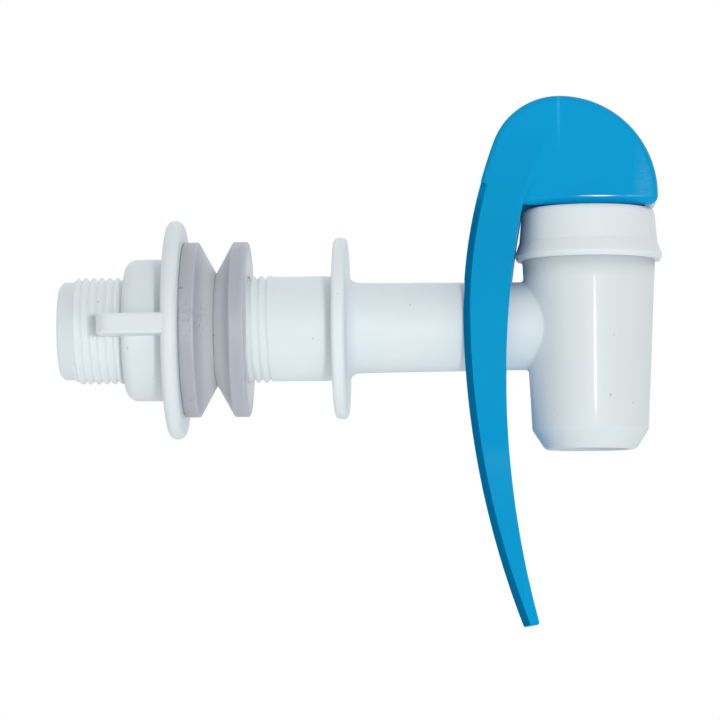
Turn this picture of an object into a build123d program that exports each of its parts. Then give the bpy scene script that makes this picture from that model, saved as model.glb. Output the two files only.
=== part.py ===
"""Push-lever dispenser tap for a water tank, with its lock nut and seals.

X runs along the inlet shank towards the user, Z is up, and the origin is the
centre of the mounting flange's rear face, which draws up to the tank wall.
"""
import os
from math import asin, atan2, cos, degrees, radians, sin, sqrt

from build123d import *

# Shank: M20 x 1.5, plain tip ahead of the thread and plain stretch behind the flange
thread_diameter = 20.0
thread_pitch = 1.5
thread_depth_ratio = 0.55
shank_length = 51.4
lead_length = 3.4
plain_length = 11.6
plain_relief = 0.2
tip_chamfer = 0.8
bore_diameter = 12.0

# Mounting flange and inlet pipe
flange_diameter = 34.0
flange_thickness = 2.5
flange_edge = 0.9
flange_root = 2.2
pipe_diameter = 17.0
pipe_taper = 0.8
pipe_root = 0.6
valve_reach = 47.6

# Valve cup: shoulder under the bonnet, tapered wall, bevelled foot round the outlet
cup_diameter = 24.8
cup_taper = 3.1
cup_depth = 23.2
shoulder_height = 12.1
foot_bevel_width = 2.4
foot_bevel_height = 3.7
foot_round = 1.2
neck_diameter = 22.0
neck_height = 4.4
chamber_diameter = 18.4
seat_depth = 7.0
seat_diameter = 8.8
seat_bead_width = 0.9
seat_bead_height = 1.0
seat_floor = 2.4
outlet_diameter = 14.0
outlet_draft = 0.3

# Bonnet: cap with a collar ring at its foot and a guide for the stem
bonnet_height = 9.6
bonnet_top_diameter = 24.7
bonnet_waist_diameter = 25.8
bonnet_edge = 1.0
ring_diameter = 27.6
ring_foot = 0.4
ring_crest = 0.9
ring_height = 3.4
bonnet_roof = 3.0
bonnet_clearance = 0.05

# Stem and its cross bar, spring and silicone cup
stem_diameter = 4.8
stem_clearance = 0.1
stem_cap = 0.8
bar_diameter = 3.2
bar_height = 4.6
bar_end_clearance = 0.2
bar_clearance = 0.06
spring_seat_diameter = 9.6
spring_seat_thickness = 1.4
knob_diameter = 5.6
knob_height = 2.0
knob_neck_diameter = 3.4
knob_neck_height = 1.2
spring_diameter = 7.6
wire_diameter = 0.7
spring_turns = 6
spring_end_gap = 0.05
cup_rim_thickness = 1.5
cup_rim_clearance = 0.15
bell_wall = 0.9
bell_clearance = 0.5
pad_diameter = 11.6
pad_floor = 1.6

# Lever: hollow domed head, two arms round the pipe, one paddle below
head_gap = 0.3
head_front = 12.9
head_height = 20.3
head_setback = 5.4
head_half_width = 8.4
crown_radius = 12.9
arm_back = 23.4
arm_waist_height = 1.5
paddle_depth = 56.2
paddle_tip_setback = 12.8
paddle_tip_width = 2.9
paddle_tip_rise = 0.6
paddle_tip_half_width = 6.0
paddle_toe = 5.0
throat_setback = 12.2
front_waist_setback = 15.6
front_waist_depth = 13.0
arm_clearance = 2.7
lever_web = 2.4
lever_wall = 2.0
arm_bulge_depth = 4.0
flare_height = 9.0
back_bevel_width = 3.5
back_bevel_depth = 1.3
neck_slope = 30.0
cheek_radius = 140.0
cheek_lead = 2.0
crease_knee_setback = 7.9
crease_knee_height = 10.7
window_clearance = 1.2
window_side_clearance = 0.8
window_corner = 4.0
lever_swing = 12.0
head_edge = 1.2
tip_edge = 0.5
skirt_edge = 1.6
socket_boss_diameter = 6.4
socket_boss_depth = 2.0
snap_slot_width = 2.7

# Seals: two tapered washers, narrow ends together
seal_diameter = 32.8
seal_thickness = 6.05
seal_rim = 2.75
seal_neck_wall = 0.4
seal_clearance = 0.05
seal_stand_off = 16.0
seal_edge = 0.4

# Lock nut: flange, collar and two wings
nut_flange_diameter = 41.0
nut_flange_thickness = 3.0
nut_flange_edge = 1.4
nut_wall = 3.25
nut_collar_length = 8.0
nut_collar_edge = 2.3
nut_clearance = 0.05
wing_thickness = 3.8
wing_overhang = 3.9
wing_corner = 3.0
wing_root = 1.5
wing_inset = 0.3
wing_edge = 0.5

# Sizes closer than this are the same size
same_size = 0.0001

# Sizes that follow from the ones above
thread_depth = thread_depth_ratio * thread_pitch
thread_radius = thread_diameter / 2
lead_radius = thread_radius - thread_depth
plain_radius = thread_radius - plain_relief
thread_start = -shank_length + lead_length
flange_radius = flange_diameter / 2
pipe_radius = pipe_diameter / 2
pipe_end_radius = pipe_radius - pipe_taper / 2

cup_radius = cup_diameter / 2
foot_radius = cup_radius - cup_taper / 2
neck_radius = neck_diameter / 2
neck_top = shoulder_height + neck_height
chamber_radius = chamber_diameter / 2
seat_radius = seat_diameter / 2
seat_top = -seat_depth
floor_top = seat_top - seat_bead_height
floor_bottom = floor_top - seat_floor
outlet_radius = outlet_diameter / 2

bonnet_top = shoulder_height + bonnet_height
roof_underside = bonnet_top - bonnet_roof
rim_top = neck_top + cup_rim_thickness
ring_radius = ring_diameter / 2
skirt_radius = neck_radius + bonnet_clearance
stem_radius = stem_diameter / 2

head_base = bonnet_top + head_gap
bar_level = head_base + bar_height
head_top = head_base + head_height
head_spring = head_top - head_front - head_setback
flare_top = head_base + flare_height
dome_radius = head_front + head_setback
arm_half_width = pipe_radius + arm_clearance + lever_wall
inner_half_width = head_half_width - lever_wall
bar_half_length = inner_half_width - bar_end_clearance
rock_radius = (bonnet_top_diameter - bonnet_edge) / 2
swing_lift = arm_back * sin(radians(lever_swing)) + rock_radius * radians(lever_swing)
swing_lift += bar_level * (1 - cos(radians(lever_swing)))
window_half_width = pipe_radius + window_side_clearance
window_top = pipe_radius + window_clearance
window_bottom = -(window_top + swing_lift) / cos(radians(lever_swing))

nut_face = -(seal_stand_off + 2 * seal_thickness)
nut_bore_radius = thread_radius + nut_clearance
nut_flange_radius = nut_flange_diameter / 2
nut_collar_radius = nut_bore_radius + nut_wall
collar_end = nut_face - nut_flange_thickness - nut_collar_length
wing_end = collar_end - wing_overhang
wing_radius = nut_flange_radius - wing_inset

# Working planes and axes at the valve
valve_section = Plane(origin=(valve_reach, 0, 0), x_dir=(1, 0, 0), z_dir=(0, -1, 0))
valve_axis = Axis((valve_reach, 0, 0), (0, 0, 1))
outside = 2 * (head_top + paddle_depth)


def circles_of(part, radius):
    """Round edges of a part that have the given radius."""
    circles = part.edges().filter_by(GeomType.CIRCLE)
    return circles.filter_by(lambda edge: abs(edge.radius - radius) < same_size)


# Tap body: shank, flange and pipe on one axis, valve cup on the other
with BuildPart() as tap_body:
    with BuildSketch(Plane.XZ):
        with BuildLine():
            Polyline(
                (-shank_length, 0),
                (-shank_length, lead_radius - tip_chamfer),
                (-shank_length + tip_chamfer, lead_radius),
                (thread_start - thread_depth, lead_radius),
                (thread_start, thread_radius),
                (-plain_length, thread_radius),
                (-plain_length, plain_radius),
                (0, plain_radius),
                (0, flange_radius),
                (flange_thickness, flange_radius),
                (flange_thickness, pipe_radius),
                (valve_reach, pipe_end_radius),
                (valve_reach, 0),
                close=True,
            )
        make_face()
    revolve(axis=Axis.X)
    fillet(circles_of(tap_body, flange_radius), flange_edge)
    fillet(circles_of(tap_body, pipe_radius), flange_root)
    with BuildSketch(valve_section):
        with BuildLine():
            Polyline(
                (0, -cup_depth),
                (foot_radius - foot_bevel_width, -cup_depth),
                (foot_radius, -cup_depth + foot_bevel_height),
                (cup_radius, shoulder_height),
                (neck_radius, shoulder_height),
                (neck_radius, neck_top),
                (0, neck_top),
                close=True,
            )
        make_face()
    revolve(axis=valve_axis)
    saddle = tap_body.edges(Select.NEW).filter_by(GeomType.BSPLINE)
    fillet(saddle, pipe_root)
    fillet(circles_of(tap_body, foot_radius), foot_round)
    fillet(circles_of(tap_body, foot_radius - foot_bevel_width), foot_round)
    with BuildSketch(valve_section):
        with BuildLine():
            Polyline(
                (0, neck_top),
                (chamber_radius, neck_top),
                (chamber_radius, floor_top),
                (seat_radius + seat_bead_width, floor_top),
                (seat_radius + seat_bead_width / 2, seat_top),
                (seat_radius, seat_top),
                (seat_radius, floor_bottom),
                (outlet_radius - outlet_draft, floor_bottom),
                (outlet_radius, -cup_depth),
                (0, -cup_depth),
                close=True,
            )
        make_face()
    revolve(axis=valve_axis, mode=Mode.SUBTRACT)
    with BuildSketch(Plane.YZ.offset(-shank_length)):
        Circle(bore_diameter / 2)
    extrude(amount=shank_length + valve_reach, mode=Mode.SUBTRACT)

# Bonnet
with BuildPart() as bonnet:
    with BuildSketch(valve_section):
        with BuildLine():
            Polyline(
                (stem_radius + stem_clearance, bonnet_top),
                (bonnet_top_diameter / 2, bonnet_top),
                (bonnet_waist_diameter / 2, shoulder_height + ring_height),
                (ring_radius, shoulder_height + ring_crest),
                (ring_radius - ring_foot, shoulder_height),
                (skirt_radius, shoulder_height),
                (skirt_radius, rim_top),
                (chamber_radius, rim_top),
                (chamber_radius, roof_underside),
                (stem_radius + stem_clearance, roof_underside),
                close=True,
            )
        make_face()
    revolve(axis=valve_axis)
    fillet(circles_of(bonnet, bonnet_top_diameter / 2), bonnet_edge)
    fillet(circles_of(bonnet, ring_radius), ring_foot)

# Silicone cup: rim under the bonnet, bell round the spring, pad on the outlet seat
pad_top = seat_top + pad_floor + knob_height + knob_neck_height
bell_top_radius = chamber_radius - bell_clearance
with BuildPart() as seat_cup:
    with BuildSketch(valve_section):
        with BuildLine():
            Polyline(
                (0, seat_top),
                (pad_diameter / 2, seat_top),
                (pad_diameter / 2, pad_top),
                (bell_top_radius, neck_top),
                (neck_radius - cup_rim_clearance, neck_top),
                (neck_radius - cup_rim_clearance, rim_top),
                (bell_top_radius - bell_wall, rim_top),
                (bell_top_radius - bell_wall, neck_top),
                (pad_diameter / 2 - bell_wall, pad_top),
                (knob_neck_diameter / 2, pad_top),
                (knob_neck_diameter / 2, pad_top - knob_neck_height),
                (knob_diameter / 2, pad_top - knob_neck_height),
                (knob_diameter / 2, seat_top + pad_floor),
                (0, seat_top + pad_floor),
                close=True,
            )
        make_face()
    revolve(axis=valve_axis)

# Stem: knob in the pad, spring seat, rod through the bonnet, cross bar in the lever
with BuildPart() as stem:
    with BuildSketch(valve_section):
        with BuildLine():
            Polyline(
                (0, seat_top + pad_floor),
                (knob_diameter / 2, seat_top + pad_floor),
                (knob_diameter / 2, pad_top - knob_neck_height),
                (knob_neck_diameter / 2, pad_top - knob_neck_height),
                (knob_neck_diameter / 2, pad_top),
                (spring_seat_diameter / 2, pad_top),
                (spring_seat_diameter / 2, pad_top + spring_seat_thickness),
                (stem_radius, pad_top + spring_seat_thickness),
                (stem_radius, bar_level + bar_diameter / 2 + stem_cap),
                (0, bar_level + bar_diameter / 2 + stem_cap),
                close=True,
            )
        make_face()
    revolve(axis=valve_axis)
    with BuildSketch(valve_section):
        with Locations((0, bar_level)):
            Circle(bar_diameter / 2)
    extrude(amount=bar_half_length, both=True)

# Return spring between the stem's seat and the bonnet's roof
spring_foot = pad_top + spring_seat_thickness + spring_end_gap + wire_diameter / 2
spring_head = roof_underside - spring_end_gap - wire_diameter / 2
coil_radius = (spring_diameter - wire_diameter) / 2
coil_pitch = (spring_head - spring_foot) / spring_turns
with BuildPart() as return_spring:
    with BuildLine() as coil:
        Helix(coil_pitch, spring_head - spring_foot, coil_radius, center=(valve_reach, 0, spring_foot))
    with BuildSketch(coil.line ^ 0):
        Circle(wire_diameter / 2)
    sweep(is_frenet=True)

# Lever: side sections with a dome front, a crown and two long arcs down the arm's back
def lever_back(inset, toe):
    """Crown, arm and paddle arcs of a side section, moved in by inset and stopped short by toe."""
    step = arm_back - head_setback
    rise = head_top - crown_radius - arm_waist_height
    arm_radius = (step**2 + rise**2 - crown_radius**2) / (2 * (step - crown_radius))
    arm_turn = degrees(atan2(rise, arm_radius - step))
    reach = arm_back - paddle_tip_setback
    drop = paddle_depth + arm_waist_height
    paddle_radius = (drop**2 + reach**2) / (2 * reach)
    paddle_turn = degrees(asin((drop - toe) / paddle_radius))
    CenterArc((-head_setback, head_top - crown_radius), crown_radius - inset, 90, 90 - arm_turn)
    CenterArc((arm_radius - arm_back, arm_waist_height), arm_radius - inset, 180 - arm_turn, arm_turn)
    return CenterArc((paddle_radius - arm_back, arm_waist_height), paddle_radius - inset, 180, paddle_turn)


def lever_section():
    """Outer side section of the lever."""
    with BuildSketch(valve_section) as section:
        with BuildLine():
            CenterArc((-head_setback, head_spring), dome_radius, 0, 90)
            tip_back = lever_back(0, 0) @ 1
            tip_front = tip_back + Vector(paddle_tip_width, paddle_tip_rise)
            Line(tip_back, tip_front)
            ThreePointArc(
                tip_front,
                (-front_waist_setback, -front_waist_depth),
                (-throat_setback, head_base),
            )
            Polyline((-throat_setback, head_base), (head_front, head_base), (head_front, head_spring))
        make_face()
    return section.sketch


def hollow_section():
    """Side section of the lever's hollow, open below the head and in front of the arms."""
    with BuildSketch(valve_section) as section:
        with BuildLine():
            CenterArc((-head_setback, head_spring), dome_radius - lever_web, 0, 90)
            toe = lever_back(lever_web, paddle_toe) @ 1
            Polyline(
                toe,
                (0, toe.Y),
                (head_front - lever_web, head_base - lever_web),
                (head_front - lever_web, head_spring),
            )
        make_face()
    return section.sketch


def lever_leaf(inset):
    """Front view of the lever: narrow head, arms bulged round the pipe, pointed paddle."""
    head = head_half_width - inset
    bulge = arm_half_width - inset
    tip = paddle_tip_half_width - inset
    middle = ((head + bulge) / 2, (flare_top - arm_bulge_depth) / 2)
    with BuildSketch(Plane.YZ.offset(valve_reach - outside)) as leaf:
        with BuildLine():
            Line((0, outside), (head, outside))
            Line((head, outside), (head, flare_top))
            shoulder = TangentArc((head, flare_top), middle, tangent=(0, -1))
            TangentArc(middle, (bulge, -arm_bulge_depth), tangent=shoulder % 1)
            TangentArc((bulge, -arm_bulge_depth), (tip, -paddle_depth), tangent=(0, -1))
            Line((tip, -paddle_depth), (tip, -outside))
            Line((tip, -outside), (0, -outside))
            mirror(about=Plane.YZ)
        make_face()
    return leaf.sketch


def cheek_plan(inset):
    """Plan of the head between its two barrelled cheeks."""
    crest = valve_reach - head_setback - cheek_lead
    bow_centre = sqrt(cheek_radius**2 - cheek_lead**2) - head_half_width
    with BuildSketch(Plane.XY.offset(-outside)) as plan:
        with Locations((crest, -bow_centre)):
            Circle(cheek_radius - inset)
        with Locations((crest, bow_centre)):
            Circle(cheek_radius - inset, mode=Mode.INTERSECT)
    return plan.sketch


with BuildPart() as lever_hollow:
    extrude(hollow_section(), amount=arm_half_width, both=True)
    extrude(lever_leaf(lever_wall), amount=2 * outside, mode=Mode.INTERSECT)
    with BuildSketch(Plane.XY.offset(-outside)):
        with Locations((valve_reach - head_setback, 0)):
            Rectangle(outside, outside, align=(Align.MIN, Align.CENTER))
        add(cheek_plan(lever_wall), mode=Mode.SUBTRACT)
    extrude(amount=2 * outside, mode=Mode.SUBTRACT)

# Waste outside the head's cheeks, which start at the crease and are slightly barrelled
with BuildPart() as cheek_waste:
    with BuildSketch(valve_section):
        with BuildLine():
            Polyline(
                (-head_setback, outside),
                (-head_setback, head_top),
                (-crease_knee_setback, head_base + crease_knee_height),
                (-throat_setback, head_base),
                (-throat_setback, -front_waist_depth),
                (outside, -front_waist_depth),
                (outside, outside),
                close=True,
            )
        make_face()
    extrude(amount=outside, both=True)
    extrude(cheek_plan(0), amount=2 * outside, mode=Mode.SUBTRACT)

# Arms and paddle below the neck, with bevelled back edges
neck_slant = radians(neck_slope)
neck = Plane(
    origin=(valve_reach - throat_setback, 0, head_base),
    x_dir=(0, 1, 0),
    z_dir=(sin(neck_slant), 0, cos(neck_slant)),
)
with BuildPart() as arms:
    extrude(lever_section(), amount=arm_half_width, both=True)
    extrude(lever_leaf(0), amount=2 * outside, mode=Mode.INTERSECT)
    split(bisect_by=neck, keep=Keep.BOTTOM)
    back_middle = Vertex(valve_reach - arm_back, 0, -arm_bulge_depth)
    paddle_back = arms.faces().sort_by_distance(back_middle)[0]
    back_edges = paddle_back.edges().sort_by(SortBy.LENGTH)[-2:]
    chamfer(back_edges, back_bevel_width, back_bevel_depth, reference=paddle_back)
    tip_top = -paddle_depth + paddle_tip_rise + same_size
    tip_rim = arms.edges().filter_by_position(Axis.Z, -paddle_depth - same_size, tip_top)
    fillet(tip_rim, tip_edge)

with BuildPart() as lever:
    extrude(lever_section(), amount=arm_half_width, both=True)
    extrude(lever_leaf(0), amount=2 * outside, mode=Mode.INTERSECT)
    add(cheek_waste.part, mode=Mode.SUBTRACT)
    split(bisect_by=neck, keep=Keep.TOP)
    head_rim = lever.edges().filter_by_position(Axis.Z, flare_top, head_top)
    head_rim = head_rim.filter_by(GeomType.LINE, reverse=True)
    fillet(head_rim.filter_by(lambda edge: abs(edge.center().Y) > inner_half_width), head_edge)
    base_rim = lever.edges().filter_by_position(Axis.Z, head_base - same_size, head_base + same_size)
    skirt_rim = base_rim.filter_by(lambda edge: edge.bounding_box().max.X > valve_reach - head_setback)
    fillet(skirt_rim, skirt_edge)
    add(arms.part)
    add(lever_hollow.part, mode=Mode.SUBTRACT)
    with BuildSketch(Plane.YZ.offset(valve_reach - outside)):
        with Locations((0, (window_top + window_bottom) / 2)):
            RectangleRounded(2 * window_half_width, window_top - window_bottom, window_corner)
    extrude(amount=outside - front_waist_setback, mode=Mode.SUBTRACT)
    for side in (1, -1):
        with BuildSketch(valve_section.offset(side * (inner_half_width - socket_boss_depth))):
            with Locations((0, bar_level)):
                Circle(socket_boss_diameter / 2)
        extrude(amount=side * (socket_boss_depth + lever_wall / 2))
    with BuildSketch(valve_section):
        with Locations((0, bar_level)):
            Circle(bar_diameter / 2 + bar_clearance)
        with Locations((0, bar_level - socket_boss_diameter / 2)):
            Rectangle(snap_slot_width, socket_boss_diameter)
    extrude(amount=inner_half_width, both=True, mode=Mode.SUBTRACT)

# Seals
def seal_section(wide_face, towards):
    """Half section of a tapered washer from its wide face towards its narrow end."""
    bore = thread_radius + seal_clearance
    with BuildSketch(Plane.XZ) as section:
        with BuildLine():
            Polyline(
                (wide_face, bore),
                (wide_face, seal_diameter / 2),
                (wide_face + towards * seal_rim, seal_diameter / 2),
                (wide_face + towards * seal_thickness, bore + seal_neck_wall),
                (wide_face + towards * seal_thickness, bore),
                close=True,
            )
        make_face()
    return section.sketch


with BuildPart() as front_seal:
    revolve(seal_section(-seal_stand_off, -1), axis=Axis.X)
    fillet(circles_of(front_seal, seal_diameter / 2), seal_edge)

with BuildPart() as rear_seal:
    revolve(seal_section(nut_face, 1), axis=Axis.X)
    fillet(circles_of(rear_seal, seal_diameter / 2), seal_edge)

# Lock nut
with BuildPart() as lock_nut:
    with BuildSketch(Plane.XZ):
        with BuildLine():
            Polyline(
                (nut_face, nut_bore_radius),
                (nut_face, nut_flange_radius),
                (nut_face - nut_flange_thickness, nut_flange_radius),
                (nut_face - nut_flange_thickness, nut_collar_radius),
                (collar_end, nut_collar_radius),
                (collar_end, nut_bore_radius),
                close=True,
            )
        make_face()
    revolve(axis=Axis.X)
    fillet(circles_of(lock_nut, nut_flange_radius), nut_flange_edge)
    fillet(circles_of(lock_nut, nut_collar_radius).sort_by(Axis.X)[0], nut_collar_edge)
    with BuildSketch(Plane.XY):
        with BuildLine():
            Polyline(
                (nut_face - nut_flange_thickness / 2, nut_bore_radius + wing_root),
                (wing_end, nut_bore_radius + wing_root),
                (wing_end, wing_radius),
                (nut_face - nut_flange_thickness / 2, wing_radius),
                close=True,
            )
        corner = make_face().vertices().sort_by(Axis.X)[:2].sort_by(Axis.Y)[-1]
        fillet(corner, wing_corner)
        mirror(about=Plane.XZ)
    extrude(amount=wing_thickness / 2, both=True)
    wing_faces = lock_nut.faces().filter_by(Plane.XY)
    wing_rim = wing_faces.edges().filter_by_position(Axis.X, wing_end, collar_end)
    fillet(wing_rim, wing_edge)

os.makedirs("parts", exist_ok=True)
pieces = {
    "tap_body": tap_body,
    "bonnet": bonnet,
    "seat_cup": seat_cup,
    "stem": stem,
    "return_spring": return_spring,
    "lever": lever,
    "front_seal": front_seal,
    "rear_seal": rear_seal,
    "lock_nut": lock_nut,
}
for name, piece in pieces.items():
    piece.part.label = name
    export_step(piece.part, f"parts/{name}.step")
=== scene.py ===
from math import cos, pi, radians, sin

import bmesh
import bpy
from mathutils import Matrix, Vector


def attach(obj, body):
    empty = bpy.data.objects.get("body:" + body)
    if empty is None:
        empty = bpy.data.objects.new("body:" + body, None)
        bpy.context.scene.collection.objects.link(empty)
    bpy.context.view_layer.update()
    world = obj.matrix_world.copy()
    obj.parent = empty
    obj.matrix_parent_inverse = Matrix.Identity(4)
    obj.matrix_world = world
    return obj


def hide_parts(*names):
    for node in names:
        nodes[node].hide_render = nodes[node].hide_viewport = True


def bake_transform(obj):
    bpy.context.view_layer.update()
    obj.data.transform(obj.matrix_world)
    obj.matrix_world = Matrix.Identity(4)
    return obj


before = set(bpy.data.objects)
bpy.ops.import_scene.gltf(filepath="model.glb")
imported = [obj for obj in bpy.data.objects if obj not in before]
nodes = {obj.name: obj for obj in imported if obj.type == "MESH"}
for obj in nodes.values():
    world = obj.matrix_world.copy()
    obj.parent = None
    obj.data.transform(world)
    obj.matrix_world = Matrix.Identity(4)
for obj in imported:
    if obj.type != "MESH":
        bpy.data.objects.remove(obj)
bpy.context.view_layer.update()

mm = 0.001
sharpAngle = radians(28)  # edges above this stay crisp
print("frame loaded:", ", ".join(sorted(nodes)))


class Wire:  # one socket of a node tree: maths on it adds Math nodes
    def __init__(self, tree, socket):
        self.tree, self.socket = tree, socket

    def math(self, operation, first, second):
        node = self.tree.nodes.new("ShaderNodeMath")
        node.operation = operation
        for slot, value in zip(node.inputs, (first, second)):
            plug(self.tree, slot, value)
        return Wire(self.tree, node.outputs[0])

    def __add__(self, other):
        return self.math("ADD", self, other)

    def __sub__(self, other):
        return self.math("SUBTRACT", self, other)

    def __rsub__(self, other):
        return self.math("SUBTRACT", other, self)

    def __mul__(self, other):
        return self.math("MULTIPLY", self, other)

    def __pow__(self, other):
        return self.math("POWER", self, other)

    def over(self, limit):
        return self.math("GREATER_THAN", self, limit)

    def most(self, other):
        return self.math("MAXIMUM", self, other)

    __radd__, __rmul__ = __add__, __mul__


def plug(tree, slot, value):  # a link for a wire, a plain value for anything else
    if isinstance(value, Wire):
        tree.links.new(value.socket, slot)
    else:
        slot.default_value = value


class Graph:  # a material's or the world's nodes
    def __init__(self, owner):
        owner.use_nodes = True
        self.tree = owner.node_tree
        self.tree.nodes.clear()

    def node(self, kind, settings=None, sockets=None, out=0):
        made = self.tree.nodes.new("ShaderNode" + kind)
        for name, value in (settings or {}).items():
            setattr(made, name, value)
        for name, value in (sockets or {}).items():
            plug(self.tree, made.inputs[name], value)
        return Wire(self.tree, made.outputs[out]) if made.outputs else made

    def noise(self, coords, scale, detail=3.0, rough=0.5, stretch=None):
        if stretch:
            coords = self.node("Mapping", {}, {"Vector": coords, "Scale": stretch})
        return self.node("TexNoise", {}, {"Vector": coords, "Scale": scale, "Detail": detail, "Roughness": rough})

    def ramp(self, value, start, end):  # 0 at start, 1 at end
        sockets = {"Value": value, "From Min": start, "From Max": end}
        return self.node("MapRange", {"interpolation_type": "SMOOTHSTEP"}, sockets)

    def axes(self, vector):
        return [self.node("SeparateXYZ", {}, {0: vector}, axis) for axis in range(3)]

    def blend(self, factor, first, second):  # colour mix
        return self.node("Mix", {"data_type": "RGBA"}, {0: factor, 6: first, 7: second}, 2)

    def bump(self, height, strength, distance, under=None):
        sockets = {"Height": height, "Strength": strength, "Distance": distance}
        return self.node("Bump", {}, sockets | ({"Normal": under} if under else {}))


def newMaterial(name):
    material = bpy.data.materials.new(name)
    return material, Graph(material)


def dress(piece, material):
    piece.data.materials.clear()
    piece.data.materials.append(material)


# white mouldings: faint cloudiness, soft flow marks, a few dark flecks
whitePlastic = {"colour": (0.80, 0.865, 0.89, 1), "cloud": (0.765, 0.83, 0.86, 1), "cloudScale": 90,
                "rough": 0.44, "roughSwing": 0.1, "flowScale": 420, "grainScale": 2600, "grainDepth": 0.000008,
                "fleck": (0.34, 0.35, 0.36, 1), "fleckScale": 700, "fleckOver": 0.79, "fleckShare": 0.35,
                "ior": 1.49, "specular": 0.25, "waxy": 0.4, "waxyDepth": 0.002, "coat": 0.03, "coatRough": 0.06}
bodyPlastic = whitePlastic | {"cup": (0.735, 0.793, 0.8, 1), "cupStart": 0.034, "cupEnd": 0.042}
nutPlastic = whitePlastic | {"colour": (0.745, 0.80, 0.83, 1)}
bonnetPlastic = whitePlastic | {"colour": (0.77, 0.83, 0.845, 1), "coat": 0.0}
stemPlastic = whitePlastic | {"coat": 0.0}


def makeWhitePlastic(name, look, flow):
    material, g = newMaterial(name)
    place = g.node("TexCoord", out="Object")
    cloud = g.noise(place, look["cloudScale"], 4)
    marks = g.noise(place, look["flowScale"], 3, 0.6, flow)
    grain = g.noise(place, look["grainScale"], 2)
    fleck = g.noise(place, look["fleckScale"], 1).over(look["fleckOver"])
    colour = g.blend(cloud, look["colour"], look["cloud"])
    if "cup" in look:  # the valve cup is greyer than the pipe, along X
        colour = g.blend(g.ramp(g.axes(place)[0], look["cupStart"], look["cupEnd"]), colour, look["cup"])
    colour = g.blend(fleck * look["fleckShare"], colour, look["fleck"])
    shader = g.node("BsdfPrincipled", {}, {
        "Base Color": colour, "Roughness": look["rough"] + (marks - 0.5) * look["roughSwing"],
        "Normal": g.bump(grain * 0.5 + marks * 0.4, 0.1, look["grainDepth"]),
        "IOR": look["ior"], "Specular IOR Level": look["specular"],
        "Subsurface Weight": look["waxy"], "Subsurface Scale": look["waxyDepth"], "Subsurface Radius": (1.0, 1.0, 1.0),
        "Coat Weight": look["coat"], "Coat Roughness": look["coatRough"]})
    g.node("OutputMaterial", {}, {"Surface": shader})
    return material


bodyWhite = makeWhitePlastic("bodyWhite", bodyPlastic, (0.25, 1, 1))
nutWhite = makeWhitePlastic("nutWhite", nutPlastic, (0.4, 1, 1))
bonnetWhite = makeWhitePlastic("bonnetWhite", bonnetPlastic, (1, 1, 0.3))
stemWhite = makeWhitePlastic("stemWhite", stemPlastic, (1, 1, 0.2))

# blue lever: deep glossy colour, a darker dull back that is painted shade, long soft flow marks, scuffed nose, a pale
# line along the crown that is a painted highlight
bluePlastic = {"colour": (0.0, 0.345, 0.68, 1), "deep": (0.0, 0.325, 0.65, 1), "cloudScale": 60,
               "rough": 0.08, "rub": 0.03, "grainSwing": 0.02, "flowScale": 500, "grainScale": 2200, "grainDepth": 0.00001,
               "ior": 1.49, "specular": 0.08,
               # painted shade: the dark blue on the next line is painted on the lever's back, with a dull finish,
               # standing in for its shade
               "back": (0.0, 0.18, 0.4, 1), "backStart": -0.3, "backEnd": -0.85, "backRough": 0.6,
               "neck": 0.0265, "waist": 0.019,
               # painted shade: the deeper blue on the next line is painted on the arm beside the crease, standing in
               # for the crease's shading
               "paintedCreaseShade": (0.0, 0.315, 0.62, 1), "creaseAt": 0.0238, "creaseLean": 0.47, "creaseFoot": 0.0236,
               "creaseTop": 0.04, "creaseAhead": 0.0003, "creaseBehind": 0.0002,
               "noseStart": 0.0535, "noseEnd": 0.0595, "scuffScale": 3000, "scuffDepth": 0.00008,
               # painted highlight: the pale blue on the next line is a light line painted along the crown's crease
               "paintedCrownHighlight": (0.03, 0.52, 0.82, 1), "paintedCrownHighlightAt": 0.0422, "paintedCrownHighlightWidth": 0.0004, "paintedCrownHighlightFoot": 0.03, "paintedCrownHighlightTop": 0.043}


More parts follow.
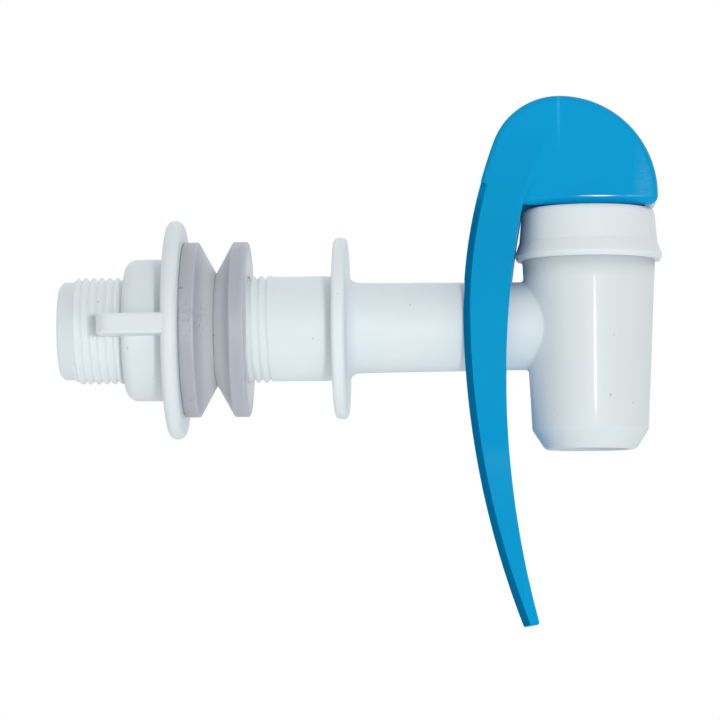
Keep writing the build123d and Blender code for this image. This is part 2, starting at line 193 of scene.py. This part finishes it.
def makeBluePlastic(name, look):
    material, g = newMaterial(name)
    place = g.node("TexCoord", out="Object")
    along, high = g.axes(place)[::2]
    cloud = g.noise(place, look["cloudScale"], 4)
    marks = g.noise(place, look["flowScale"], 4, 0.6, (1, 1, 0.12))
    grain = g.noise(place, look["grainScale"], 2)
    scuff = g.noise(place, look["scuffScale"], 3)
    colour = g.blend(cloud, look["colour"], look["deep"])
    # painted shade: the arm is painted a shade deeper than the flat of the head, along a leaning crease, standing in
    # for the shading of the crease's edge
    crease = along - look["creaseLean"] * high.most(look["creaseFoot"])
    paintedCreaseShade = g.ramp(crease, look["creaseAt"] + look["creaseAhead"], look["creaseAt"] - look["creaseBehind"])
    colour = g.blend(paintedCreaseShade * g.ramp(high, look["creaseTop"], look["neck"]), colour, look["paintedCreaseShade"])
    # painted shade: faces turned towards -X, below the neck, are painted a darker blue, standing in for the shade on
    # the lever's back
    paintedBackShade = g.ramp(g.axes(g.node("TexCoord", out="Normal"))[0], look["backStart"], look["backEnd"])
    colour = g.blend(paintedBackShade * g.ramp(high, look["neck"], look["waist"]), colour, look["back"])
    # painted highlight: a pale line painted along the crown's crease, broken up by the scuff noise
    paintedCrownHighlight = g.ramp((along - look["paintedCrownHighlightAt"]) ** 2.0, look["paintedCrownHighlightWidth"] ** 2, 0.0)
    colour = g.blend(paintedCrownHighlight * g.ramp(high, look["paintedCrownHighlightFoot"], look["paintedCrownHighlightTop"]) * scuff, colour, look["paintedCrownHighlight"])
    rough = look["rough"] + (marks - 0.5) * look["rub"] + (grain - 0.5) * look["grainSwing"]
    fine = g.bump(grain * 0.4 + marks * 0.5, 0.1, look["grainDepth"])
    normal = g.bump(scuff * g.ramp(along, look["noseStart"], look["noseEnd"]), 1.0, look["scuffDepth"], fine)
    gloss = g.node("BsdfPrincipled", {}, {"Base Color": colour, "Roughness": rough, "Normal": normal,
                                          "IOR": look["ior"], "Specular IOR Level": look["specular"]})
    # painted shade: the back's dull finish has no reflection, which keeps it dark like shade
    dull = g.node("BsdfPrincipled", {}, {"Base Color": colour, "Roughness": look["backRough"], "Normal": normal,
                                         "Specular IOR Level": 0.0})
    g.node("OutputMaterial", {}, {"Surface": g.node("MixShader", {}, {0: paintedBackShade, 1: gloss, 2: dull})})
    return material


leverBlue = makeBluePlastic("leverBlue", bluePlastic)

# silicone: cloudy and waxy, turned streaks, painted light making it paler towards the bore where light comes through
# the thin lip, a grimy patch on the near side
silicone = {"colour": (0.395, 0.41, 0.465, 1), "pale": (0.49, 0.51, 0.56, 1), "cloudScale": 140, "streakScale": 1500,
            # painted light: the pale colour on the next line stands in for light coming through the thin lip near the
            # bore
            "paintedLipLight": (0.63, 0.66, 0.695, 1), "thickAt": 0.0162, "thinAt": 0.0125,
            "grime": (0.2, 0.2, 0.22, 1), "speckScale": 520, "speckOver": 0.74, "speckShare": 0.5,
            "patchAt": (-0.0262, -0.0145, 0.001), "patchSize": 0.006, "patchScale": 1100, "patchOver": 0.54, "patchShare": 0.35,
            "rough": 0.42, "roughSwing": 0.1, "grainScale": 1800, "grainDepth": 0.00003,
            "ior": 1.41, "specular": 1.0, "waxy": 0.6, "waxyDepth": 0.003}
cupRubber = silicone | {"colour": (0.6, 0.61, 0.64, 1)}


def makeSilicone(name, look):
    material, g = newMaterial(name)
    place = g.node("TexCoord", out="Object")
    deep, high = g.axes(place)[1:]
    # painted light: paler towards the bore, standing in for light coming through the thin lip
    paintedLipLight = g.ramp((deep * deep + high * high) ** 0.5, look["thickAt"], look["thinAt"])
    cloud = g.noise(place, look["cloudScale"], 4)
    grain = g.noise(place, look["grainScale"], 3)
    streak = g.noise(place, look["streakScale"], 2, 0.5, (1, 0.08, 0.08))
    speck = g.noise(place, look["speckScale"], 2).over(look["speckOver"])
    far = g.node("VectorMath", {"operation": "DISTANCE"}, {0: place, 1: look["patchAt"]}, "Value")
    patch = g.ramp(far, look["patchSize"], 0.0) * g.noise(place, look["patchScale"], 4, 0.7).over(look["patchOver"])
    colour = g.blend(cloud * 0.6 + streak * 0.4, look["colour"], look["pale"])
    colour = g.blend(paintedLipLight, colour, look["paintedLipLight"])
    colour = g.blend((speck * look["speckShare"]).most(patch * look["patchShare"]), colour, look["grime"])
    shader = g.node("BsdfPrincipled", {}, {
        "Base Color": colour, "Roughness": look["rough"] + grain * look["roughSwing"],
        "Normal": g.bump(grain, 0.15, look["grainDepth"]), "IOR": look["ior"], "Specular IOR Level": look["specular"],
        "Subsurface Weight": look["waxy"], "Subsurface Scale": look["waxyDepth"], "Subsurface Radius": (0.9, 0.95, 1.0)})
    g.node("OutputMaterial", {}, {"Surface": shader})
    return material


sealSilicone = makeSilicone("sealSilicone", silicone)
cupSilicone = makeSilicone("cupSilicone", cupRubber)

# spring wire: bright drawn steel
springWire = {"colour": (0.5, 0.5, 0.52, 1), "bright": (0.62, 0.62, 0.63, 1), "drawnScale": 3000,
              "rough": 0.22, "roughSwing": 0.15}


def makeSteel(name, look):
    material, g = newMaterial(name)
    drawn = g.noise(g.node("TexCoord", out="Object"), look["drawnScale"], 3)
    shader = g.node("BsdfPrincipled", {}, {"Base Color": g.blend(drawn, look["colour"], look["bright"]), "Metallic": 1.0,
                                           "Roughness": look["rough"] + drawn * look["roughSwing"]})
    g.node("OutputMaterial", {}, {"Surface": shader})
    return material


springSteel = makeSteel("springSteel", springWire)
print("materials ready")

for name, material in {"bonnet": bonnetWhite, "stem": stemWhite, "lever": leverBlue, "front_seal": sealSilicone,
                       "rear_seal": sealSilicone, "lock_nut": nutWhite, "tap_body": bodyWhite, "seat_cup": cupSilicone,
                       "return_spring": springSteel}.items():
    dress(nodes[name], material)


def mergedCopy(node):
    bm = bmesh.new()
    bm.from_mesh(nodes[node].data)
    bmesh.ops.remove_doubles(bm, verts=bm.verts, dist=1e-6)
    return bm


def linkedObject(name, data):
    made = bpy.data.objects.new(name, data)
    bpy.context.scene.collection.objects.link(made)
    return made


def meshObject(name, bm):
    mesh = bpy.data.meshes.new(name)
    bm.to_mesh(mesh)
    bm.free()
    return linkedObject(name, mesh)


def meshPiece(name, bm, material):
    piece = meshObject(name, bm)
    dress(piece, material)
    return piece


def smooth(mesh):
    mesh.shade_smooth()
    mesh.set_sharp_from_angle(angle=sharpAngle)


# threaded body: a merged copy of the CAD body with the helical groove cut out of its shank
shankThread = {"start": -48.9, "end": -11.7, "pitch": 1.5, "crest": 10.0, "depth": 0.5, "rootWidth": 0.35,
               "openWidth": 1.14, "stepsPerTurn": 48, "runout": 0.16, "shell": 9.6, "roundAbove": 0.999}


def threadCutter(look):
    turns = (look["end"] - look["start"]) / look["pitch"]
    steps = int(turns * look["stepsPerTurn"])
    bm = bmesh.new()
    root, top = look["crest"] - look["depth"], look["crest"] + look["runout"]
    slope = (look["openWidth"] - look["rootWidth"]) / 2 / look["depth"]
    wide = look["openWidth"] / 2 + slope * look["runout"]
    outline = [(-look["rootWidth"] / 2, root), (look["rootWidth"] / 2, root), (wide, top), (-wide, top)]
    corners = [bm.verts.new(((look["start"] + x) * mm, 0, r * mm)) for x, r in outline]
    face = bm.faces.new(corners)
    step = look["pitch"] * mm / look["stepsPerTurn"]
    bmesh.ops.spin(bm, geom=[face] + face.edges[:] + corners, cent=(0, 0, 0), axis=(1, 0, 0), dvec=(step, 0, 0),
                   angle=2 * pi * steps / look["stepsPerTurn"], steps=steps, use_duplicate=False)
    bmesh.ops.remove_doubles(bm, verts=bm.verts, dist=1e-7)
    bmesh.ops.holes_fill(bm, edges=[e for e in bm.edges if e.is_boundary])
    bmesh.ops.recalc_face_normals(bm, faces=bm.faces)
    return bm


def roundNormals(mesh, look):  # the cut splits the shank's round faces into slivers: give them true radial normals
    normals = [corner.vector.copy() for corner in mesh.corner_normals]
    for face in mesh.polygons:
        spot = Vector((0, face.center.y, face.center.z))
        outside = face.center.x < 0 and spot.length > look["shell"] * mm
        if outside and face.normal.dot(spot.normalized()) > look["roundAbove"]:
            for corner in face.loop_indices:
                co = mesh.vertices[mesh.loops[corner].vertex_index].co
                normals[corner] = Vector((0, co.y, co.z)).normalized()
    mesh.normals_split_custom_set(normals)


def cutThread(node, look):
    body = meshPiece("threadedBody", mergedCopy(node), bodyWhite)
    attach(body, "valve_body")
    tool = meshObject("threadCutter", threadCutter(look))
    cut = body.modifiers.new("thread", "BOOLEAN")
    cut.operation, cut.object, cut.solver = "DIFFERENCE", tool, "EXACT"
    bpy.context.view_layer.update()
    carved = bpy.data.meshes.new_from_object(body.evaluated_get(bpy.context.evaluated_depsgraph_get()))
    body.modifiers.clear()
    body.data = carved
    bpy.data.objects.remove(tool)
    smooth(carved)
    roundNormals(carved, look)
    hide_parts(node)
    print("thread cut:", len(carved.polygons), "faces")


cutThread("tap_body", shankThread)

# soft pieces: smoothed copies of the spring and the seat cup, shown in place of the CAD pieces
softPieces = {
    "return_spring": {"name": "coilSpring", "material": springSteel, "slot": "spring_steel", "still": 18.7, "moved": -0.7},
    "seat_cup": {"name": "siliconeCup", "material": cupSilicone, "slot": "cup_silicone", "still": 16.5, "moved": -2.3},
}
for node, look in softPieces.items():
    soft = meshPiece(look["name"], mergedCopy(node), look["material"])
    smooth(soft.data)
    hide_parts(node)
    look["still"] * mm
    look["moved"] * mm
    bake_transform(soft)
print("soft pieces ready")

# stage, light and camera
studio = {"right": 0.06, "left": 0.12, "back": 1.28, "up": 0.81, "floorLevel": -0.15, "floorSize": 1.2,
          "floorColour": (0.86, 0.87, 0.88, 1), "floorPale": (0.89, 0.9, 0.9, 1), "floorScale": 6}
keyLamp = {"level": 0.385, "size": 0.07, "distance": 0.8, "azimuth": 12, "elevation": -2}
lens = {"focal": 187, "sensor": 36, "distance": 0.70, "azimuth": 2.3, "elevation": -3.7, "roll": 0.5,
        "aimX": 4.67, "aimZ": -5.98, "near": 0.01, "far": 20}


def direction(azimuth, elevation):  # from the object towards a viewer
    a, e = radians(azimuth), radians(elevation)
    return Vector((sin(a) * cos(e), -cos(a) * cos(e), sin(e)))


def makeWorld(look):  # a soft level for each side of the room, white behind the object where it is seen
    world = bpy.data.worlds.new("studio")
    bpy.context.scene.world = world
    g = Graph(world)
    camera, glossy, through = [g.node("LightPath", out="Is %s Ray" % kind) for kind in ("Camera", "Glossy", "Transmission")]
    dark = g.node("Background", {}, {"Strength": 0.0})
    lit = dark
    across, deep, high = g.axes(g.node("TexCoord", out="Generated"))
    for side, axis in {"right": across, "left": 0 - across, "back": deep, "up": high}.items():
        wall = g.node("Background", {}, {"Color": (1, 1, 1, 1), "Strength": look[side]})
        share = g.node("MixShader", {}, {0: axis.most(0), 1: dark, 2: wall})
        lit = g.node("AddShader", {}, {0: lit, 1: share})
    white = g.node("Background", {}, {"Color": (1, 1, 1, 1), "Strength": 1.0})
    seen = camera.most(glossy).most(through)
    g.node("OutputWorld", {}, {"Surface": g.node("MixShader", {}, {0: seen, 1: lit, 2: white})})


def makeLamp(name, look, aim):
    lamp = bpy.data.lights.new(name, "AREA")
    lamp.shape, lamp.size = "DISK", look["size"]
    lamp.energy = look["level"] * (pi * look["distance"]) ** 2  # level is the brightness of a white wall facing it
    made = linkedObject(name, lamp)
    back = direction(look["azimuth"], look["elevation"])
    made.location = aim + back * look["distance"]
    made.rotation_euler = (-back).to_track_quat("-Z", "Y").to_euler()


def makeFloor(look):
    bm = bmesh.new()
    bmesh.ops.create_grid(bm, x_segments=1, y_segments=1, size=look["floorSize"])
    bmesh.ops.translate(bm, verts=bm.verts, vec=(0, 0, look["floorLevel"]))
    floor = meshObject("floor", bm)
    material, g = newMaterial("floorPale")
    tone = g.noise(g.node("TexCoord", out="Object"), look["floorScale"], 2)
    shader = g.node("BsdfDiffuse", {}, {"Color": g.blend(tone, look["floorColour"], look["floorPale"])})
    g.node("OutputMaterial", {}, {"Surface": shader})
    dress(floor, material)


def makeCamera(look, aim):
    data = bpy.data.cameras.new("camera")
    data.sensor_fit, data.sensor_width, data.lens = "HORIZONTAL", look["sensor"], look["focal"]
    data.clip_start, data.clip_end = look["near"], look["far"]
    camera = linkedObject("camera", data)
    back = direction(look["azimuth"], look["elevation"])
    turn = (-back).to_track_quat("-Z", "Y").to_matrix().to_4x4() @ Matrix.Rotation(radians(-look["roll"]), 4, "Z")
    camera.matrix_world = Matrix.Translation(aim + back * look["distance"]) @ turn
    bpy.context.scene.camera = camera


aim = Vector((lens["aimX"] * mm, 0, lens["aimZ"] * mm))
makeWorld(studio)
makeLamp("keyLight", keyLamp, aim)
makeFloor(studio)
makeCamera(lens, aim)
bpy.context.scene.view_settings.view_transform = "Standard"
print("stage, light and camera ready")
